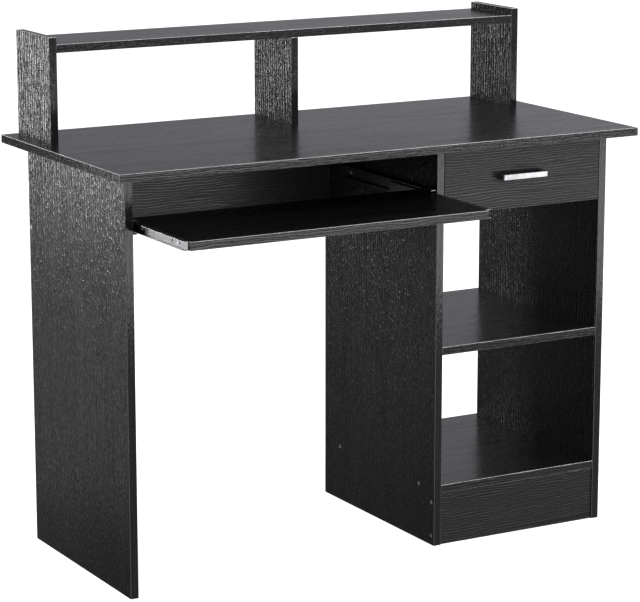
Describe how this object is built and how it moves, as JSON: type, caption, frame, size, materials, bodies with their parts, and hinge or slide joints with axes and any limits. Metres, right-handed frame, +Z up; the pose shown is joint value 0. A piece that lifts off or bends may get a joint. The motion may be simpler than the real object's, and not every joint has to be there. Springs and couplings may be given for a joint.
{
  "type": "computer desk",
  "caption": "Board computer desk with a pull-out keyboard tray on ball-bearing slides, a pedestal with a drawer and open compartments, and a low hutch shelf.",
  "frame": {"origin": "on the floor, at the middle of the whole desk's box with the keyboard tray pulled out as at rest and the drawer shut", "axes": "+Z up, +X the seated user's right (the pedestal's side), -Y towards the user"},
  "size_m": [1.05, 0.638, 0.943],
  "materials": {
    "board_horizontal_grain": "black embossed woodgrain melamine, grain along the board's length, semi-gloss",
    "board_vertical_grain": "black embossed woodgrain melamine, grain upright, semi-gloss",
    "drawer_box_board": "plain black melamine, satin",
    "hardboard": "black painted hardboard, satin",
    "satin_handle_metal": "satin, brushed along its length",
    "zinc_plated_steel": "bright zinc plate with faint rolling marks",
    "bearing_steel": "polished balls",
    "screw_steel": "nickel-plated steel",
    "cast_zinc": "as-cast zinc, dull",
    "beech": "raw beech, fluted"
  },
  "bodies": {
    "desk": {"desktop": "board_horizontal_grain", "left_side_panel": "board_vertical_grain", "middle_side_panel": "board_vertical_grain", "right_side_panel": "board_vertical_grain", "back_rail": "board_horizontal_grain", "pedestal_back_rail": "board_horizontal_grain", "middle_shelf": "board_horizontal_grain", "bottom_shelf": "board_horizontal_grain", "kickboard": "board_horizontal_grain", "hutch_upright_left": "board_vertical_grain", "hutch_upright_middle": "board_vertical_grain", "hutch_upright_right": "board_vertical_grain", "hutch_shelf": "board_horizontal_grain", "tray_slide_cabinet_left": "zinc_plated_steel", "tray_slide_cabinet_right": "zinc_plated_steel", "drawer_slide_cabinet_left": "zinc_plated_steel", "drawer_slide_cabinet_right": "zinc_plated_steel", "confirmat_screws": "screw_steel", "cam_bolts": "screw_steel", "slide_screws_panels": "screw_steel", "shelf_pins": "screw_steel", "cam_locks": "cast_zinc", "dowels": "beech"},
    "tray": {"keyboard_tray": "board_horizontal_grain", "tray_slide_member_left": "zinc_plated_steel", "tray_slide_member_right": "zinc_plated_steel", "slide_screws_tray": "screw_steel"},
    "tray_cages": {"tray_slide_cage_left": "zinc_plated_steel", "tray_slide_cage_right": "zinc_plated_steel", "tray_slide_balls": "bearing_steel"},
    "drawer": {"drawer_front": "board_horizontal_grain", "drawer_side_left": "drawer_box_board", "drawer_side_right": "drawer_box_board", "drawer_back": "drawer_box_board", "drawer_bottom": "hardboard", "drawer_handle": "satin_handle_metal", "handle_screws": "screw_steel", "drawer_slide_member_left": "zinc_plated_steel", "drawer_slide_member_right": "zinc_plated_steel", "slide_screws_drawer": "screw_steel", "drawer_cam_bolts": "screw_steel", "drawer_cam_locks": "cast_zinc", "drawer_box_screws": "screw_steel"},
    "drawer_cages": {"drawer_slide_cage_left": "zinc_plated_steel", "drawer_slide_cage_right": "zinc_plated_steel", "drawer_slide_balls": "bearing_steel"}
  },
  "joints": [
    {"name": "tray_slide", "type": "slide", "parent": "desk", "child": "tray", "axis": [0, -1, 0], "range_m": [-0.19, 0.057]},
    {"name": "tray_cage_slide", "type": "slide", "parent": "desk", "child": "tray_cages", "axis": [0, -1, 0], "range_m": [-0.095, 0.0285]},
    {"name": "drawer_slide", "type": "slide", "parent": "desk", "child": "drawer", "axis": [0, -1, 0], "range_m": [0, 0.25]},
    {"name": "drawer_cage_slide", "type": "slide", "parent": "desk", "child": "drawer_cages", "axis": [0, -1, 0], "range_m": [0, 0.125]}
  ],
  "couplings": [
    {"joint": "tray_cage_slide", "follows": "tray_slide", "ratio": 0.5},
    {"joint": "drawer_cage_slide", "follows": "drawer_slide", "ratio": 0.5}
  ]
}
